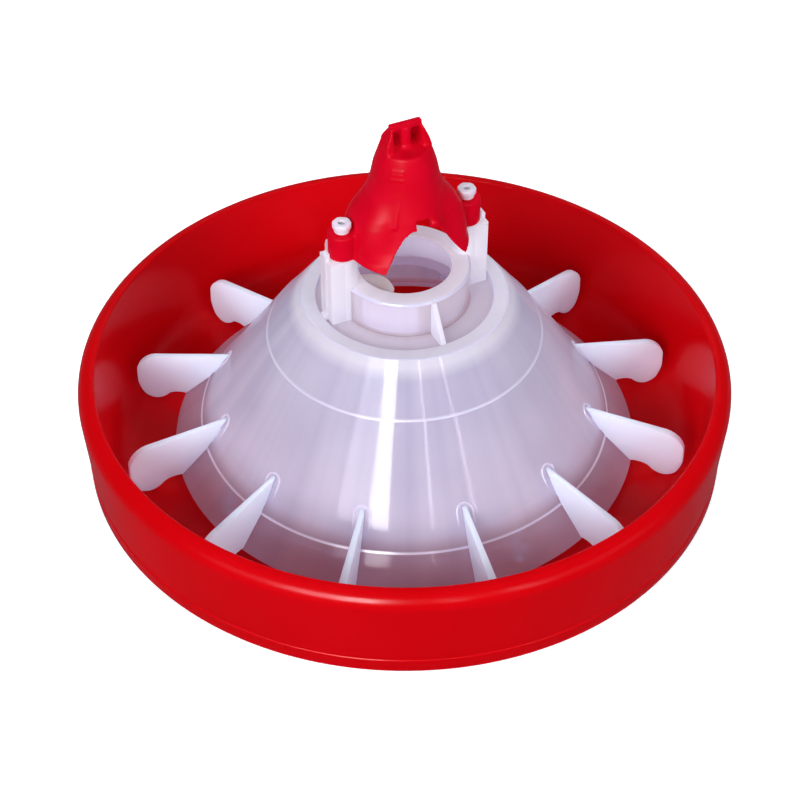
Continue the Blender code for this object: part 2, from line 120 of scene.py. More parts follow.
def boolean(piece, others, operation):
    """Joins or cuts with other pieces, which go once it is done."""
    for other in others:
        mod = piece.modifiers.new(operation.lower(), "BOOLEAN")
        mod.operation = operation
        mod.solver = "EXACT"
        mod.object = other
    settle(piece)
    for other in others:
        bpy.data.objects.remove(other, do_unlink=True)


def settle(piece):
    """Applies the modifiers."""
    deps = bpy.context.evaluated_depsgraph_get()
    mesh = bpy.data.meshes.new_from_object(piece.evaluated_get(deps))
    piece.modifiers.clear()
    old, piece.data = piece.data, mesh
    bpy.data.meshes.remove(old)


def smooth(piece, degrees=32.0):
    """Shades it smooth, apart from edges that turn more than this."""
    piece.data.shade_smooth()
    piece.data.set_sharp_from_angle(angle=math.radians(degrees))


def rod(name, radius, z0, z1, x=0.0, y=0.0, sides=48, edge=0.0):
    """An upright cylinder from z0 to z1; edge softens its ends."""
    bm = bmesh.new()
    bmesh.ops.create_cone(bm, cap_ends=True, segments=sides, radius1=radius, radius2=radius,
                          depth=z1 - z0, matrix=Matrix.Translation((x, y, (z0 + z1) / 2)))
    if edge:
        rims = [e for e in bm.edges if abs(e.verts[0].co.z - e.verts[1].co.z) < 1e-6]
        bmesh.ops.bevel(bm, geom=rims, offset=edge, segments=3, profile=0.5, affect="EDGES",
                        material=-1)
    return put(bm, name)


pan_red, tree = new_material("red polypropylene, polished mould")
place = add(tree, "TexCoord").outputs["Object"]
# Slow flow of the melt, 60 mm and more across, tints the red and dulls the gloss in patches.
flow = add(tree, "TexNoise", {"Vector": place, "Scale": 16.0, "Detail": 1.0, "Roughness": 0.4})
tint = add(tree, "ValToRGB", {"Fac": flow.outputs["Fac"]})
tint.color_ramp.elements[0].position, tint.color_ramp.elements[1].position = 0.10, 0.90
tint.color_ramp.elements[0].color = linear("CE0108")
tint.color_ramp.elements[1].color = linear("DA030E")
gloss = add(tree, "MapRange", {"Value": flow.outputs["Fac"], "To Min": 0.16, "To Max": 0.24})
shader = add(tree, "BsdfPrincipled", {
    "Base Color": tint.outputs["Color"], "Roughness": gloss.outputs["Result"], "IOR": 1.49,
    "Specular IOR Level": 0.06})
add(tree, "OutputMaterial", {"Surface": shader.outputs["BSDF"]})

pan_r, pan_top, wall = 0.2533, 0.0926, 0.003
floor_top, floor_low = 0.009, 0.006
foot_ring_out, foot_ring_in = 0.206, 0.200
outer_low, hem = 0.015, 0.0265
# The rim rolls over from the inner lip to the outer wall on a radius of 12 mm.
roll = 0.0120
wall_r = pan_r - roll - 0.0014
low_r = wall_r - 0.0106
shoulder = [(pan_r - roll * (1.0 - math.cos(t)), pan_top - roll * (1.0 - math.sin(t)))
            for t in (math.radians(90 - 9 * k) for k in range(11))]
bm = bmesh.new()
outline(bm, [
    (0.0, floor_top), (low_r - 0.001, floor_top, 0.0195), (wall_r, pan_top, 0.0013), *shoulder,
    (pan_r - 0.0032, hem + 0.0005, 0.0004), (pan_r - 0.0026, hem, 0.0003),
    (pan_r - 0.0028, outer_low, 0.0009), (pan_r - 0.0062, outer_low, 0.0009),
    (pan_r - wall, pan_top - roll), (pan_r - 0.0049, pan_top - 0.0070),
    (pan_r - 0.0080, pan_top - 0.0040), (wall_r + wall + 0.0010, pan_top - wall),
    (wall_r + wall, pan_top - wall - 0.0010), (low_r + 0.0015, floor_low, 0.0215),
    (foot_ring_out + 0.003, floor_low, 0.001), (foot_ring_out, 0.0, 0.0008),
    (foot_ring_in, 0.0, 0.0008), (foot_ring_in, floor_low, 0.001), (0.0, floor_low)],
    closed=False)
turn(bm)
pan = put(bm, "pan_moulding", pan_red)
# Four holes in the floor take the pegs of the cone's feet.
feet_r, peg_hole = 0.16115, 0.0033
foot_at = [(feet_r * math.cos(az), feet_r * math.sin(az))
           for az in (math.radians(7.6 + 90 * k) for k in range(4))]
boolean(pan, [rod("hole", peg_hole, -0.002, 0.013, x, y, 24) for x, y in foot_at], "DIFFERENCE")
smooth(pan)
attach(pan, "root")
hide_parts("pan")

# Cone: natural polypropylene, milky and see-through close up, moulded in one with the feed ring,
# the posts and their ribs. It stands in the pan on four pegged feet.
natural, tree = new_material("natural polypropylene, 2.5 mm moulded")
place = add(tree, "TexCoord").outputs["Object"]
# Cloudiness of the wall: uneven cooling leaves patches of 50 mm and thin streaks down the slope.
cloud = add(tree, "TexNoise", {"Vector": place, "Scale": 18.0, "Detail": 1.0, "Roughness": 0.4})
height = add(tree, "SeparateXYZ", {"Vector": place})
flat = add(tree, "CombineXYZ", {"X": height.outputs["X"], "Y": height.outputs["Y"]})
round_way = add(tree, "VectorMath", {"Vector": flat.outputs["Vector"]}, operation="NORMALIZE")
streak = add(tree, "TexNoise", {"Vector": round_way.outputs["Vector"], "Scale": 7.0, "Detail": 2.0})
mottle = add(tree, "Mix", {0: 0.5, 2: cloud.outputs["Fac"], 3: streak.outputs["Fac"]})
milk = add(tree, "ValToRGB", {"Fac": mottle.outputs[0]})
milk.color_ramp.elements[0].position, milk.color_ramp.elements[1].position = 0.15, 0.85
milk.color_ramp.elements[0].color = linear("C8C6DA")
milk.color_ramp.elements[1].color = linear("F6F4FC")
rough = add(tree, "MapRange", {"Value": cloud.outputs["Fac"], "To Min": 0.05, "To Max": 0.09})
# The wall is thicker in the two steps, at 40 and 121 mm, and in the ring and posts above 151 mm,
# where it is whiter. The thin white bands at the steps are also painted highlight lines, and the
# white of the ring and posts is also painted light that brightens them. The ramp's positions are
# heights in mm, over 200 mm.
level = add(tree, "MapRange", {"Value": height.outputs["Z"], "From Min": 0.0, "From Max": 0.2})
steps = add(tree, "ValToRGB", {"Fac": level.outputs["Result"]})
for z, shade in ((39.4, "000000"), (40.3, "F8F8F8"), (41.2, "000000"), (120.4, "000000"),
                 (121.3, "F8F8F8"), (122.2, "000000"), (143.0, "000000"), (151.0, "FFFFFF")):
    steps.color_ramp.elements.new(z / 200.0).color = linear(shade)
pale = add(tree, "Mix", {"Factor": steps.outputs["Color"], 6: milk.outputs["Color"],
                         7: linear("FEFBFC")}, data_type="RGBA")
# Painted glow: the whole cone emits a faint light, least low down and most in the posts and the
# feed ring, the thickest part.
raised = add(tree, "MapRange", {"Value": height.outputs["Z"], "From Min": 0.158, "From Max": 0.168})
painted_glow = add(tree, "Mix", {"Factor": raised.outputs["Result"], 6: linear("8C8AA0"),
                          7: linear("D6D1D8")}, data_type="RGBA")
body = add(tree, "BsdfPrincipled", {
    "Base Color": pale.outputs[2], "Roughness": rough.outputs["Result"], "IOR": 1.49,
    "Specular IOR Level": 0.12, "Emission Color": painted_glow.outputs[2], "Emission Strength": 0.25})
# Light from the far side shines through the milky wall.
glow = add(tree, "BsdfTranslucent", {"Color": milk.outputs["Color"]})
lit = add(tree, "MixShader", {"Fac": 0.38, 1: body.outputs["BSDF"], 2: glow.outputs["BSDF"]})
# The skirt lies close over the red pan, which shows through it; higher up the haze hides all.
seen_through = add(tree, "MapRange", {
    "Value": height.outputs["Z"], "From Min": 0.037, "From Max": 0.052,
    "To Min": 0.62, "To Max": 0.15}, interpolation_type="SMOOTHSTEP")
thin = add(tree, "Math", {0: steps.outputs["Color"], 1: -0.14, 2: seen_through.outputs["Result"]},
           operation="MULTIPLY_ADD", use_clamp=True)
# The hub's wall and the web round it are thin: the feed guide and the red below show through.
from_axis = add(tree, "VectorMath", {"Vector": flat.outputs["Vector"]}, operation="LENGTH")
for radius, top_z, share in ((0.0497, 0.1812, 0.46), (0.0676, 0.1540, 0.30)):
    inside = add(tree, "MapRange", {"Value": from_axis.outputs["Value"],
                                    "From Min": radius - 0.0003, "From Max": radius + 0.0003,
                                    "To Min": share, "To Max": 0.0})
    under = add(tree, "MapRange", {"Value": height.outputs["Z"], "From Min": top_z - 0.0004,
                                   "From Max": top_z + 0.0004, "To Min": 1.0, "To Max": 0.0})
    thin = add(tree, "Math", {0: inside.outputs["Result"], 1: under.outputs["Result"],
                              2: thin.outputs["Value"]}, operation="MULTIPLY_ADD", use_clamp=True)
clear = add(tree, "BsdfTransparent", {"Color": linear("FBF4FF")})
shader = add(tree, "MixShader", {"Fac": thin.outputs["Value"], 1: lit.outputs["Shader"],
                                 2: clear.outputs["BSDF"]})
add(tree, "OutputMaterial", {"Surface": shader.outputs["Shader"]})

# Where the wall doubles up, at the hoops round the fin roots, it is all milk. Its whiter colour and
# faint emission are also a painted highlight and a painted glow on these raised lines. The cloud
# in it is 25 mm across.
bead, tree = new_material("natural polypropylene, thick bead")
place = add(tree, "TexCoord").outputs["Object"]
cloud = add(tree, "TexNoise", {"Vector": place, "Scale": 40.0, "Detail": 1.0})
milk = add(tree, "ValToRGB", {"Fac": cloud.outputs["Fac"]})
milk.color_ramp.elements[0].color = linear("D4CFE2")
milk.color_ramp.elements[1].color = linear("DEDAEA")
shader = add(tree, "BsdfPrincipled", {
    "Base Color": milk.outputs["Color"], "Roughness": 0.22, "IOR": 1.49,
    "Specular IOR Level": 0.30, "Emission Color": linear("F0F0FF"), "Emission Strength": 0.05})
add(tree, "OutputMaterial", {"Surface": shader.outputs["BSDF"]})

hole_r, hub_r, hub_in = 0.035, 0.04925, 0.04675
ring_top, ring_low = 0.1832, 0.1807
web_top, web_low = 0.1533, 0.1508
flange_in, flange_r, flange_top = 0.06725, 0.0784, 0.1563
bm = bmesh.new()
# Down the outside from the feed ring to the skirt's edge, and back up the inside.
outline(bm, [
    (hole_r, ring_top, 0.0010), (hub_r, ring_top, 0.0022), (hub_r, web_top, 0.0012),
    (flange_in, web_top, 0.0008), (flange_in, flange_top, 0.0006), (flange_r, flange_top, 0.0009),
    (0.1046, 0.1220, 0.0006), (0.1060, 0.1206, 0.0005), (0.1600, 0.0410, 0.0006),
    (0.1614, 0.0396, 0.0005), (0.1832, 0.0180, 0.0007), (0.1810, 0.01667, 0.0006),
    (0.1625, 0.03455, 0.0008), (0.1624, 0.0321, 0.0005), (0.1599, 0.0321, 0.0005),
    (0.1599, 0.0372, 0.0006), (0.1037, 0.1184), (0.0772, 0.1538, 0.0010),
    (0.06975, 0.1538, 0.0006), (0.06975, web_low, 0.0006), (0.0390, web_low, 0.0005),
    (0.0390, web_top, 0.0005), (hub_in, web_top, 0.0008), (hub_in, ring_low, 0.0010),
    (hole_r, ring_low, 0.0008)])
turn(bm)
cone = put(bm, "cone_moulding", natural, bead)


def plate(name, points, thick, azimuth=0.0, edge=0.0005, round_by=()):
    """An upright plate along a radius; points are radius and height, round_by rounds corners."""
    bm = bmesh.new()
    face = bm.faces.new([bm.verts.new((p[0], -thick / 2, p[1])) for p in points])
    for v, size in zip(face.verts[:], round_by):
        if size:
            bmesh.ops.bevel(bm, geom=[v], offset=size, offset_type="OFFSET", segments=5,
                            profile=0.5, affect="VERTICES", material=-1)
    out = bmesh.ops.extrude_face_region(bm, geom=bm.faces[:])
    bmesh.ops.translate(bm, verts=[g for g in out["geom"] if isinstance(g, bmesh.types.BMVert)],
                        vec=(0.0, thick, 0.0))
    bmesh.ops.recalc_face_normals(bm, faces=bm.faces)
    if edge:
        rims = [e for e in bm.edges if e.verts[0].co.y * e.verts[1].co.y > 0
                and len(e.link_faces) == 2]
        bmesh.ops.bevel(bm, geom=rims, offset=edge, segments=2, profile=0.5, affect="EDGES",
                        material=-1)
    bmesh.ops.rotate(bm, verts=bm.verts, cent=(0, 0, 0), matrix=Matrix.Rotation(azimuth, 3, "Z"))
    return put(bm, name)


# The posts, their outer ribs and the hub ribs start 1 mm down in the web and grow into it, and the
# ribs reach 1 mm into the flange.
post_x, post_r, post_top, bolt_hole = 0.050, 0.011, 0.2077, 0.0028
rib_low, rib_end = web_top - 0.001, flange_in + 0.001
extras = []
for az in (0.0, math.pi):
    extras.append(rod("post", post_r, rib_low, post_top, post_x * math.cos(az), 0.0, 48, 0.0006))
    extras.append(plate("post rib", [
        (0.055, rib_low), (rib_end, rib_low), (rib_end, 0.1553), (0.0645, 0.1603),
        (0.0645, post_top + 0.004), (0.0625, post_top + 0.006), (0.0614, post_top + 0.006),
        (0.0614, post_top - 0.001), (0.055, post_top - 0.001)], 0.007, az, 0.0004))
    extras.append(plate("post back", [
        (0.052, rib_low), (0.0640, rib_low), (0.0640, post_top), (0.052, post_top)],
        0.0216, az, 0.0015))
    extras.append(plate("hub rib", [
        (0.04825, rib_low), (rib_end, rib_low), (rib_end, 0.1555), (0.05075, 0.1822),
        (0.04825, 0.1822)], 0.004, az - math.pi / 2, 0.0005))
# Each foot hangs from the ring wall, stands on the pan floor and snaps in with its peg's head.
foot_top, foot_low, peg_head, peg_end = 0.0335, 0.0093, 0.0057, 0.0034
foot_r, peg_r = 0.006, 0.003
for x, y in foot_at:
    bm = bmesh.new()
    outline(bm, [(0.0, foot_top), (foot_r, foot_top), (foot_r, foot_low, 0.0006),
                 (peg_r, foot_low), (peg_r, peg_head), (0.0045, peg_head, 0.0004),
                 (0.004, peg_end, 0.0005), (0.0, peg_end)], closed=False)
    turn(bm, 32)
    bmesh.ops.translate(bm, verts=bm.verts, vec=(x, y, 0.0))
    extras.append(put(bm, "foot"))

# A raised hoop stands round the root of each fin, moulded on the slope of the cone.
slope = Vector((0.054, 0.0, -0.0796)).normalized()
outward = Vector((0.0796, 0.0, 0.054)).normalized()
root = Vector((0.1435, 0.0, 0.0655))
centre = root + slope * 0.004 - outward * 0.0002
half_wide = Vector((0.0, 0.0062, 0.0))
# Its round section, 2 mm thick, stands across its line.
across = Matrix((outward, Vector((0, 1, 0)), slope)).transposed()
# Its legs run 13 mm down the slope and sink into the wall.
down_leg = slope * 0.013 - outward * 0.0012
fin_at = [math.radians(-7.4 + 30 * k) for k in range(12)]
for az in fin_at:
    bm = bmesh.new()
    ring = bmesh.ops.create_circle(bm, segments=12, radius=0.0010)
    bmesh.ops.rotate(bm, verts=bm.verts, cent=(0, 0, 0), matrix=across)
    bmesh.ops.translate(bm, verts=bm.verts, vec=centre - half_wide)
    leg = bmesh.ops.extrude_edge_only(bm, edges=bm.edges[:])
    low = [g for g in leg["geom"] if isinstance(g, bmesh.types.BMVert)]
    bmesh.ops.translate(bm, verts=low, vec=down_leg)
    bmesh.ops.spin(bm, geom=ring["verts"] + [e for e in bm.edges if e.verts[0] in ring["verts"]
                                             and e.verts[1] in ring["verts"]],
                   cent=centre, axis=outward, angle=-math.pi, steps=16)
    bm.verts.ensure_lookup_table()
    ends = [e for e in bm.edges if e.is_boundary and e.verts[0].co.y > 0.004
            and e.verts[1].co.y > 0.004]
    leg = bmesh.ops.extrude_edge_only(bm, edges=ends)
    low = [g for g in leg["geom"] if isinstance(g, bmesh.types.BMVert)]
    bmesh.ops.translate(bm, verts=low, vec=down_leg)
    bmesh.ops.holes_fill(bm, edges=[e for e in bm.edges if e.is_boundary], sides=0)
    bmesh.ops.remove_doubles(bm, verts=bm.verts, dist=0.00001)
    bmesh.ops.recalc_face_normals(bm, faces=bm.faces)
    bmesh.ops.rotate(bm, verts=bm.verts, cent=(0, 0, 0), matrix=Matrix.Rotation(az, 3, "Z"))
    # Painted highlight: the hoop takes the whiter, faintly glowing material.
    for f in bm.faces:
        f.material_index = 1
    extras.append(put(bm, "hoop", natural, bead))
boolean(cone, extras, "UNION")
# Twelve slots for the fins' tangs, and the bolt holes through the posts.
cuts = []
for az in fin_at:
    bm = bmesh.new()
    bmesh.ops.create_cube(bm, size=1.0, matrix=Matrix.Diagonal((0.026, 0.0036, 0.0126, 1.0)))
    bmesh.ops.translate(bm, verts=bm.verts, vec=(0.1475, 0.0, 0.0515))
    bmesh.ops.rotate(bm, verts=bm.verts, cent=(0, 0, 0), matrix=Matrix.Rotation(az, 3, "Z"))
    cuts.append(put(bm, "slot"))
cuts += [rod("bore", bolt_hole, 0.14, 0.22, x, 0.0, 24) for x in (post_x, -post_x)]
boolean(cone, cuts, "DIFFERENCE")
# The rolled edges of the steps, flange and ring are thick too, and show as pale lines: they take
# the whiter material, a painted highlight along each edge. Each row is the least and most radius
# and height of an edge.
painted_highlight_edges = ((0.1600, 0.1618, 0.0394, 0.0405), (0.1050, 0.1064, 0.1203, 0.1213),
              (0.0770, 0.0788, 0.1553, 0.1565), (0.0668, 0.0682, 0.1548, 0.1565),
              (0.0474, 0.0494, 0.1812, 0.1830))
for f in cone.data.polygons:
    r, z = f.center.xy.length, f.center.z
    if any(r0 < r < r1 and z0 < z < z1 for r0, r1, z0, z1 in painted_highlight_edges):
        f.material_index = 1
smooth(cone)
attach(cone, "root")
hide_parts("cone")

# Feed guide: a curved off-white apron of satin polypropylene inside the hub, moulded in one and
# held under the feed ring, with a lip that shows in the feed hole.
guide_white, tree = new_material("white polypropylene, satin")
place = add(tree, "TexCoord").outputs["Object"]
# A faint cloud in the white, 17 mm across.
cloud = add(tree, "TexNoise", {"Vector": place, "Scale": 60.0, "Detail": 2.0})
milk = add(tree, "ValToRGB", {"Fac": cloud.outputs["Fac"]})
milk.color_ramp.elements[0].color = linear("E4DFDC")
milk.color_ramp.elements[1].color = linear("EFEBE9")
shader = add(tree, "BsdfPrincipled", {
    "Base Color": milk.outputs["Color"], "Roughness": 0.42, "IOR": 1.49,
    "Specular IOR Level": 0.35, "Subsurface Weight": 0.3,
    "Subsurface Radius": (0.003, 0.0025, 0.0022), "Subsurface Scale": 1.0})
add(tree, "OutputMaterial", {"Surface": shader.outputs["BSDF"]})


def sector(name, points, start, stop, steps, corner=0.0):
    """A section of radius and height spun between two azimuths in degrees; corner rounds the
    lower corners of both ends."""
    bm = bmesh.new()
    face = bm.faces.new([bm.verts.new((r, 0.0, z)) for r, z in points])
    bmesh.ops.rotate(bm, verts=bm.verts, cent=(0, 0, 0),
                     matrix=Matrix.Rotation(math.radians(start), 3, "Z"))
    bmesh.ops.spin(bm, geom=face.verts[:] + face.edges[:] + [face], cent=(0, 0, 0),
                   axis=(0, 0, 1), angle=math.radians(stop - start), steps=steps)
    bmesh.ops.recalc_face_normals(bm, faces=bm.faces)
    if corner:
        tips = []
        for e in bm.edges:
            mid = (e.verts[0].co + e.verts[1].co) / 2
            across = e.verts[0].co - e.verts[1].co
            turned = math.degrees(math.atan2(mid.y, mid.x))
            radial = abs(across.xy.normalized().dot(mid.xy.normalized())) > 0.99
            at_end = min(abs(turned - start), abs(turned - stop)) < 0.5
            if abs(across.z) < 1e-6 and radial and at_end and mid.z < 0.17:
                tips.append(e)
        if tips:
            bmesh.ops.bevel(bm, geom=tips, offset=corner, segments=6, profile=0.5,
                            affect="EDGES", material=-1)
    return put(bm, name, guide_white)


guide_gap, guide_wall = 0.0003, 0.0025
guide_out = hub_in - guide_gap
guide_in = guide_out - guide_wall
guide_top, guide_low = ring_low - guide_gap, web_top + guide_gap
guide = sector("feed_guide_insert", [(guide_out, guide_top), (guide_out, guide_low),
                                     (guide_in, guide_low), (guide_in, guide_top)],
               -157, -103, 28, 0.011)
# The lip in plan: radius in mm, azimuth in degrees, and the rounding of its corners in metres. It
# is a rounded tongue that reaches into the feed hole.
tongue = [(44.5, -129, 0), (27.0, -132, 0), (20.0, -147, 0.006), (20.0, -172, 0.006),
          (27.0, 173, 0), (44.5, 172, 0), (44.5, -175, 0), (44.5, -162, 0), (44.5, -149, 0),
          (44.5, -139, 0)]
bm = bmesh.new()
face = bm.faces.new([bm.verts.new((r * 0.001 * math.cos(math.radians(a)),
                                   r * 0.001 * math.sin(math.radians(a)), 0.1779))
                     for r, a, _ in tongue])
for v, (_, _, size) in zip(face.verts[:], tongue):
    if size:
        bmesh.ops.bevel(bm, geom=[v], offset=size, offset_type="OFFSET", segments=6, profile=0.5,
                        affect="VERTICES", material=-1)
grown = bmesh.ops.extrude_face_region(bm, geom=bm.faces[:])
bmesh.ops.translate(bm, verts=[g for g in grown["geom"] if isinstance(g, bmesh.types.BMVert)],
                    vec=(0.0, 0.0, 0.0023))
bmesh.ops.recalc_face_normals(bm, faces=bm.faces)
lip = put(bm, "lip", guide_white)
boolean(guide, [lip], "UNION")
soft_edge = guide.modifiers.new("edge", "BEVEL")
soft_edge.width, soft_edge.segments, soft_edge.limit_method = 0.0006, 2, "ANGLE"
soft_edge.angle_limit = math.radians(50)
settle(guide)
smooth(guide)
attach(guide, "root")
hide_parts("feed_guide")

# Fins: twelve moulded blades of milky polypropylene with a satin skin. Each is pushed into a slot
# of the cone with its tang and rests with its lobe on the pan floor.
fin_white, tree = new_material("milky polypropylene, satin mould")
place = add(tree, "TexCoord").outputs["Object"]
# A faint cloud in the milk, 22 mm across.
cloud = add(tree, "TexNoise", {"Vector": place, "Scale": 45.0, "Detail": 1.0})
milk = add(tree, "ValToRGB", {"Fac": cloud.outputs["Fac"]})
milk.color_ramp.elements[0].position, milk.color_ramp.elements[1].position = 0.1, 0.9
milk.color_ramp.elements[0].color = linear("E6EFFF")
milk.color_ramp.elements[1].color = linear("EEF6FF")
# Satin grain of the mould, 0.8 mm.
grain = add(tree, "TexNoise", {"Vector": place, "Scale": 1200.0, "Detail": 1.0})
skin = add(tree, "Bump", {"Strength": 0.05, "Distance": 0.0001, "Height": grain.outputs["Fac"]})
# The emission is a painted glow that makes the milky fins look lit from within.
shader = add(tree, "BsdfPrincipled", {
    "Base Color": milk.outputs["Color"], "Roughness": 0.38, "IOR": 1.49,
    "Specular IOR Level": 0.32, "Normal": skin.outputs["Normal"],
    "Subsurface Weight": 0.6, "Subsurface Radius": (0.005, 0.004, 0.0045),
    "Subsurface Scale": 1.0, "Emission Color": linear("B8CCFF"), "Emission Strength": 0.12})
add(tree, "OutputMaterial", {"Surface": shader.outputs["BSDF"]})

lobe_z, tip_r, fin_top = 0.0093, 0.2233, 0.0655
fall = fin_top - lobe_z
root_r = 0.1439
# Out from the root along the top edge, round the lobe, and back up over the skirt and its step.
fin_line = [
    (root_r, fin_top), (tip_r - 0.0040, lobe_z + fall * 0.745), (tip_r, lobe_z + fall * 0.50),
    (tip_r, lobe_z + 0.012), (tip_r - 0.0066, lobe_z), (tip_r - 0.0206, lobe_z),
    (tip_r - 0.0290, lobe_z + 0.0105), (0.1837, 0.0196), (0.1825, 0.0190), (0.1619, 0.0396),
    (0.1605, 0.0413)]
fin_round = [0.0, 0.012, 0.011, 0.008, 0.007, 0.008, 0.009, 0.0, 0.0, 0.0, 0.0]
for k, az in enumerate(fin_at):
    fin = plate("fin_%02d_blade" % (k + 1), fin_line, 0.0062, 0.0, 0.0013, fin_round)
    # It thins towards the root.
    for v in fin.data.vertices:
        v.co.y *= 0.62 + 0.38 * min(1.0, max(0.0, v.co.x - root_r) / 0.035)
    tang = plate("tang", [(0.1580, 0.0457), (0.1546, 0.0457), (0.1535, 0.0457), (0.1454, 0.0574),
                          (0.1500, 0.0574)], 0.003, 0.0, 0.0)
    boolean(fin, [tang], "UNION")
    fin.data.transform(Matrix.Rotation(az, 4, "Z"))
    fin.data.materials.clear()
    fin.data.materials.append(fin_white)
    smooth(fin, 40.0)
    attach(fin, "root")
    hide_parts("fin_%02d" % (k + 1))

# Saddle: bright red polypropylene with a semi-gloss, one thin moulding. The bell straddles the
# auger tube, its lugs are bolted to the posts, and the bar on top is where the feeder hangs.
saddle_red, tree = new_material("bright red polypropylene, moulded")
place = add(tree, "TexCoord").outputs["Object"]
# Flow of the melt, 22 mm across, tints the red and dulls the gloss in patches.
flow = add(tree, "TexNoise", {"Vector": place, "Scale": 45.0, "Detail": 1.0, "Roughness": 0.4})
tint = add(tree, "ValToRGB", {"Fac": flow.outputs["Fac"]})
tint.color_ramp.elements[0].position, tint.color_ramp.elements[1].position = 0.10, 0.90
tint.color_ramp.elements[0].color = linear("D4021B")
tint.color_ramp.elements[1].color = linear("E30527")
gloss = add(tree, "MapRange", {"Value": flow.outputs["Fac"], "To Min": 0.32, "To Max": 0.42})
shader = add(tree, "BsdfPrincipled", {
    "Base Color": tint.outputs["Color"], "Roughness": gloss.outputs["Result"], "IOR": 1.49,
    "Specular IOR Level": 0.035, "Subsurface Weight": 0.06,
    "Subsurface Radius": (0.004, 0.0006, 0.0008), "Subsurface Scale": 1.0})
add(tree, "OutputMaterial", {"Surface": shader.outputs["BSDF"]})

top = 0.3085
crown, base = top - 0.0195, 0.2080
bar_long, bar_wide, bar_high = 0.0245, 0.005, 0.0052
bar_low = top - 0.0048
wall = 0.0028
# Radius over height: the turned bell, and how much its flanks grow towards the lugs.
bell = [(0.0178, crown), (0.0188, 0.2880), (0.0205, 0.2835), (0.0230, 0.2755), (0.0252, 0.2645),
        (0.0268, 0.2555), (0.0278, 0.2490), (0.0290, 0.2425), (0.0305, 0.2365),
        (0.0322, 0.2305), (0.0340, 0.2250), (0.0358, 0.2205), (0.0380, 0.2165),
        (0.0405, 0.2125), (0.0455, base)]
flare = [(0.0, 0.2610), (0.0022, 0.2530), (0.0062, 0.2465), (0.0095, 0.2405), (0.0112, 0.2335),
         (0.0108, 0.2260), (0.0086, 0.2190), (0.0052, 0.2130), (0.0010, base)]


def at_height(line, z):
    """The value of a line of values and heights at one height."""
    if z >= line[0][1]:
        return line[0][0]
    for (a, high), (b, low) in zip(line, line[1:]):
        if z >= low:
            return b + (a - b) * (z - low) / (high - low)
    return line[-1][0]


def bell_body(name, line):
    """A turned body whose flanks flow out to the lugs. A flank begins 54 degrees round from its lug
    and is whole at 16 degrees. From 261 mm down to 244 mm the body grows 12% longer along the
    tube."""
    bm = bmesh.new()
    outline(bm, [(0.0, line[0][1]), *line, (0.0, line[-1][1])], closed=False)
    turn(bm, 120)
    for v in bm.verts:
        off = math.degrees(math.atan2(abs(v.co.y), abs(v.co.x)))
        t = min(1.0, max(0.0, (54.0 - off) / 38.0))
        grow = 1.0 + t * t * (3.0 - 2.0 * t) * at_height(flare, v.co.z) / at_height(bell, v.co.z)
        waist = min(1.0, max(0.0, (0.2615 - v.co.z) / 0.0178))
        v.co.x *= grow
        v.co.y *= grow * (1.0 + 0.12 * waist)
    return put(bm, name)


saddle = bell_body("saddle_moulding", bell)
joined = []
for k in range(2):
    # A flat raised pad lies on the leg at the front left, and its twin at the back right.
    joined.append(plate("pad", [(0.016, 0.2388), (0.0336, 0.2388), (0.0314, 0.2450),
                                (0.0288, 0.2520), (0.0270, 0.2570), (0.016, 0.2570)],
                        0.0100, math.radians(-133 + 180 * k), 0.0008))
    # A small rounded nib hangs at one corner of each arch notch.
    nib = rod("nib", 0.0030, 0.0288, 0.0338, sides=24, edge=0.0006)
    nib.data.transform(Matrix.Rotation(math.pi * k, 4, "Z")
                       @ Matrix.Translation((0.0092, 0.0, 0.2388))
                       @ Matrix.Rotation(math.pi / 2, 4, "X"))
    joined.append(nib)
    # Three fine lines are moulded across the bell under the crown.
    for z in (0.2800, 0.2775, 0.2735):
        joined.append(plate("fine line", [(0.014, z), (at_height(bell, z) + 0.0002, z),
                                          (at_height(bell, z) + 0.0002, z + 0.0006),
                                          (0.014, z + 0.0006)],
                            0.0100, math.radians(-129 + 180 * k), 0.0))
boolean(saddle, joined, "UNION")
# The bell is hollow: the same form, a wall smaller, is cut out of it.
core = [(0.0150, crown - wall)] + [(r - wall * 1.04 - max(0.0, 0.2205 - z) * 0.1, z)
                                   for r, z in bell[2:]]
boolean(saddle, [bell_body("core", core + [(core[-1][0], base - 0.01)])], "DIFFERENCE")
joined = []
lug_top = 0.2290
for x in (post_x, -post_x):
    joined.append(rod("lug", 0.0106, base, lug_top, x, 0.0, 48, 0.0010))
joined.append(rod("stem", 0.0042, crown - 0.001, bar_low + 0.001, 0.0, 0.0, 32))
joined.append(rod("collar", 0.0056, crown - 0.001, crown + 0.0014, 0.0, 0.0, 32, 0.0004))
bm = bmesh.new()
bmesh.ops.create_cube(bm, size=1.0, matrix=Matrix.Diagonal((bar_long, bar_wide, bar_high, 1.0)))
bmesh.ops.translate(bm, verts=bm.verts, vec=(0.0, 0.0, top - bar_high / 2))
bmesh.ops.bevel(bm, geom=bm.edges, offset=0.0005, segments=2, profile=0.5, affect="EDGES",
                material=-1)
joined.append(put(bm, "bar"))
rise = bar_low - crown
for k in range(2):
    strap = plate("strap", [(0.0112, crown - 0.001), (0.0180, crown - 0.001),
                            (0.0179, crown + 0.0010), (0.0165, crown + rise * 0.40),
                            (0.0146, crown + rise * 0.72), (0.0122, bar_low + 0.0008),
                            (0.0108, bar_low + 0.0008)], 0.0156, 0.0, 0.0004)
    for v in strap.data.vertices:
        v.co.y *= 1.0 - 0.40 * max(0.0, v.co.z - crown) / rise
    strap.data.transform(Matrix.Rotation(math.pi * k, 4, "Z"))
    joined.append(strap)
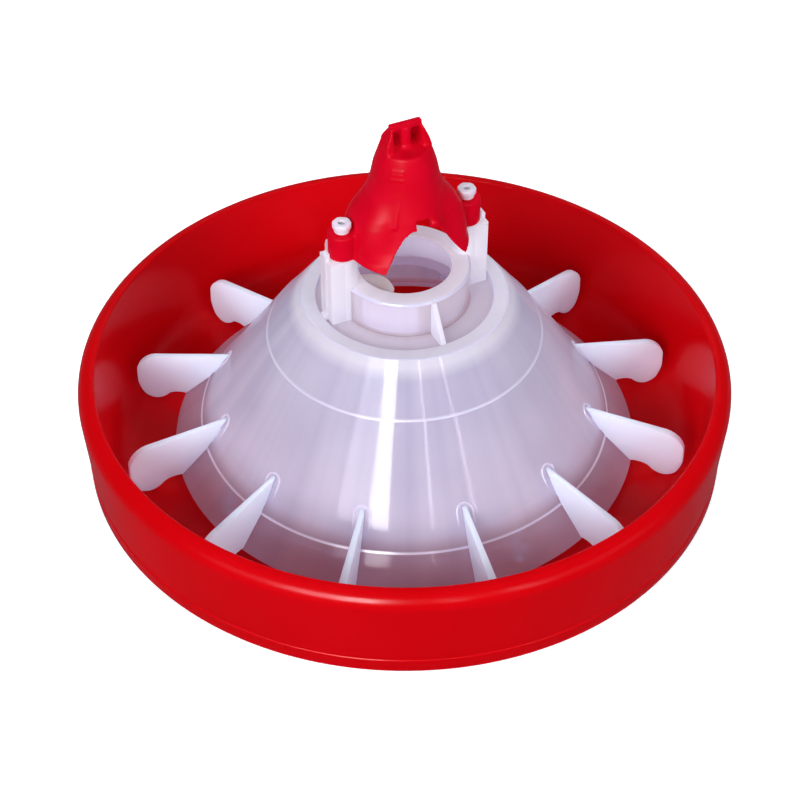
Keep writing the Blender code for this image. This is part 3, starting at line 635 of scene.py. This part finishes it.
# A low curb closes the back of the crown behind the stem.
curb_top = 0.2950
curb = rod("curb", 0.0174, crown - 0.001, curb_top, sides=96, edge=0.0004)
boolean(curb, [rod("curb core", 0.0150, crown - 0.002, curb_top + 0.001, sides=96)], "DIFFERENCE")
bm = bmesh.new()
bm.from_mesh(curb.data)
bmesh.ops.bisect_plane(bm, geom=bm.verts[:] + bm.edges[:] + bm.faces[:],
                       plane_co=(0, 0.0080, 0), plane_no=(0, -1, 0), clear_outer=True)
bmesh.ops.holes_fill(bm, edges=[e for e in bm.edges if e.is_boundary], sides=0)
bmesh.ops.recalc_face_normals(bm, faces=bm.faces)
bm.to_mesh(curb.data)
bm.free()
joined.append(curb)
boolean(saddle, joined, "UNION")

# The arch and its notch are cut through both sides, and flats are cut round the nuts.
arch = [(0.0360, base - 0.0050), (0.0312, base + 0.0002), (0.0288, 0.2107), (0.0233, 0.2179),
        (0.0190, 0.2249), (0.0146, 0.2318), (0.0114, 0.2350), (0.0080, 0.2368)]
arch += [(-x, z) for x, z in reversed(arch)]
through = 0.140
removed = [plate("arch", arch, through, 0.0, 0.0)]
bm = bmesh.new()
bmesh.ops.create_cube(bm, size=1.0, matrix=Matrix.Diagonal((0.0112, through, 0.020, 1.0)))
bmesh.ops.translate(bm, verts=bm.verts, vec=(0.0, 0.0, 0.2342))
removed.append(put(bm, "arch notch"))
removed += [rod("spot face", 0.0088, lug_top, 0.25, x, 0.0, 32) for x in (post_x, -post_x)]
removed += [rod("lug bore", bolt_hole, base - 0.01, 0.24, x, 0.0, 24) for x in (post_x, -post_x)]
boolean(saddle, removed, "DIFFERENCE")
# Remeshed at 0.8 mm and relaxed, which gives the soft edges of a moulding.
even = saddle.modifiers.new("even", "REMESH")
even.mode, even.voxel_size = "VOXEL", 0.0008
relax = saddle.modifiers.new("relax", "SMOOTH")
relax.factor, relax.iterations = 0.5, 6
settle(saddle)
saddle.data.shade_smooth()
saddle.data.materials.clear()
saddle.data.materials.append(saddle_red)
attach(saddle, "root")
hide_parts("saddle")

# Nuts: white polyamide with a soft shine, moulded as a rounded hexagon over a narrower collar and
# screwed down on the lugs.
nut_white, tree = new_material("white polyamide, moulded nut")
place = add(tree, "TexCoord").outputs["Object"]
# A faint cloud in the white, 4.5 mm across.
cloud = add(tree, "TexNoise", {"Vector": place, "Scale": 220.0, "Detail": 2.0})
milk = add(tree, "ValToRGB", {"Fac": cloud.outputs["Fac"]})
milk.color_ramp.elements[0].color = linear("ECE4EE")
milk.color_ramp.elements[1].color = linear("F6F0F6")
shader = add(tree, "BsdfPrincipled", {
    "Base Color": milk.outputs["Color"], "Roughness": 0.36, "IOR": 1.53,
    "Specular IOR Level": 0.35, "Subsurface Weight": 0.5,
    "Subsurface Radius": (0.002, 0.0016, 0.0016), "Subsurface Scale": 1.0})
add(tree, "OutputMaterial", {"Surface": shader.outputs["BSDF"]})
nut_low, nut_top = 0.2293, 0.2369
nut_r, cap_high, collar_r = 0.0076, 0.0046, 0.0057
for k, x in enumerate((post_x, -post_x)):
    bm = bmesh.new()
    bmesh.ops.create_cone(bm, cap_ends=True, segments=6, radius1=nut_r, radius2=nut_r,
                          depth=cap_high)
    bmesh.ops.bevel(bm, geom=[e for e in bm.edges if abs(e.verts[0].co.z - e.verts[1].co.z) > 1e-4],
                    offset=0.0022, segments=5, profile=0.5, affect="EDGES", material=-1)
    bmesh.ops.bevel(bm, geom=[e for e in bm.edges if abs(e.verts[0].co.z - e.verts[1].co.z) < 1e-6],
                    offset=0.0007, segments=3, profile=0.5, affect="EDGES", material=-1)
    bmesh.ops.translate(bm, verts=bm.verts, vec=(x, 0.0, nut_top - cap_high / 2))
    nut = put(bm, "nut_%d_cap" % (k + 1))
    boolean(nut, [rod("collar", collar_r, nut_low, nut_top - 0.0030, x, 0.0, 32, 0.0004)], "UNION")
    boolean(nut, [rod("bore", bolt_hole, nut_low - 0.002, nut_top + 0.002, x, 0.0, 24)],
            "DIFFERENCE")
    nut.data.materials.clear()
    nut.data.materials.append(nut_white)
    smooth(nut, 40.0)
    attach(nut, "root")
    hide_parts("nut_%d" % (k + 1))

# Bolts: zinc plated steel with a dull sheen, pushed up through the posts from below the web and
# held by the nuts. The CAD solids stay.
zinc, tree = new_material("zinc plated steel")
place = add(tree, "TexCoord").outputs["Object"]
# Haze of the plating, drawn 2.5 mm across so that it shows.
haze = add(tree, "TexNoise", {"Vector": place, "Scale": 400.0, "Detail": 3.0})
sheen = add(tree, "ValToRGB", {"Fac": haze.outputs["Fac"]})
sheen.color_ramp.elements[0].color = linear("B4B5B4")
sheen.color_ramp.elements[1].color = linear("CBCCCD")
dull = add(tree, "MapRange", {"Value": haze.outputs["Fac"], "To Min": 0.26, "To Max": 0.46})
shader = add(tree, "BsdfPrincipled", {
    "Base Color": sheen.outputs["Color"], "Metallic": 1.0, "Roughness": dull.outputs["Result"]})
add(tree, "OutputMaterial", {"Surface": shader.outputs["BSDF"]})
for name in ("bolt_1", "bolt_2"):
    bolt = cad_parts[name]
    if not bolt.material_slots:
        bolt.data.materials.append(zinc)
    for one in bolt.material_slots:
        one.material = zinc

# Floor: a plain white paper sweep in a dim studio, which looks evenly white to the camera. It is
# the stage, not part of the feeder.
paper, tree = new_material("white paper sweep")
place = add(tree, "TexCoord").outputs["Object"]
# Unevenness of the paper, 170 mm across and barely there.
fleck = add(tree, "TexNoise", {"Vector": place, "Scale": 6.0, "Detail": 2.0})
white = add(tree, "ValToRGB", {"Fac": fleck.outputs["Fac"]})
white.color_ramp.elements[0].color = linear("F6F6F6")
white.color_ramp.elements[1].color = linear("FAFAFA")
paper_white = add(tree, "BsdfPrincipled", {
    "Base Color": white.outputs["Color"], "Roughness": 0.9, "Specular IOR Level": 0.1,
    "Emission Color": linear("FFFFFF"), "Emission Strength": 0.60})
# The feeder gets less light back from the sweep than the camera sees, as in a dim studio.
paper_grey = add(tree, "BsdfDiffuse", {"Color": linear("848488")})
seen = add(tree, "LightPath")
shader = add(tree, "MixShader", {"Fac": seen.outputs["Is Camera Ray"],
                                 1: paper_grey.outputs["BSDF"], 2: paper_white.outputs["BSDF"]})
add(tree, "OutputMaterial", {"Surface": shader.outputs["Shader"]})
bm = bmesh.new()
bmesh.ops.create_grid(bm, x_segments=2, y_segments=2, size=6.0)
floor = put(bm, "floor", paper)


def pane(name, azimuth, elevation, wide, tall, radiance, colour, gloss=True):
    """A light as wide and tall as it looks from the feeder, in degrees. It shines either in the
    gloss alone or on the colours alone."""
    far = 3.0
    light = bpy.data.lights.new(name, "AREA")
    light.shape = "RECTANGLE"
    light.size = 2 * far * math.tan(math.radians(wide / 2))
    light.size_y = 2 * far * math.tan(math.radians(tall / 2))
    light.energy = radiance * math.pi * light.size * light.size_y
    light.color = linear(colour)[:3]
    ob = bpy.data.objects.new(name, light)
    bpy.context.scene.collection.objects.link(ob)
    a, e = math.radians(azimuth), math.radians(elevation)
    way = Vector((math.cos(e) * math.cos(a), math.cos(e) * math.sin(a), math.sin(e)))
    ob.location = way * far + Vector((0.0, 0.0, 0.08))
    ob.rotation_euler = way.to_track_quat("Z", "Y").to_euler()
    ob.visible_diffuse, ob.visible_glossy = not gloss, gloss
    ob.visible_transmission = False


# The four soft boxes light the feeder. The panes and slits only shine in its gloss.
pane("left soft box", -146.0, 27.0, 55.0, 25.0, 6.9, "EDEFFC", gloss=False)
pane("right soft box", -58.0, 28.0, 45.0, 25.0, 4.4, "EDEFFC", gloss=False)
pane("back soft box", 62.0, 36.0, 50.0, 25.0, 3.8, "EDEFFC", gloss=False)
pane("top soft box", -110.0, 76.0, 60.0, 60.0, 0.24, "EDEFFC", gloss=False)
pane("bright pane", -128.3, 30.0, 9.5, 24.0, 95.0, "FBFAFF")
pane("dim pane", -142.5, 30.0, 15.0, 24.0, 26.0, "F4F4FF")
pane("front slit", -100.4, 31.0, 1.6, 26.0, 40.0, "FFF4FA")
pane("right slit", -77.6, 31.0, 1.8, 26.0, 36.0, "FFE8F2")

world = bpy.data.worlds.new("studio")
bpy.context.scene.world = world
world.use_nodes = True
tree = world.node_tree
tree.nodes.clear()
# The room is dim, and the sweep's white goes on behind the feeder.
dim = add(tree, "Background", {"Color": linear("FBFBFF"), "Strength": 0.13})
pale_wall = add(tree, "Background", {"Color": linear("FFFFFF"), "Strength": 0.85})
seen = add(tree, "LightPath")
both = add(tree, "MixShader", {"Fac": seen.outputs["Is Camera Ray"],
                               1: dim.outputs["Background"], 2: pale_wall.outputs["Background"]})
add(tree, "OutputWorld", {"Surface": both.outputs["Shader"]})
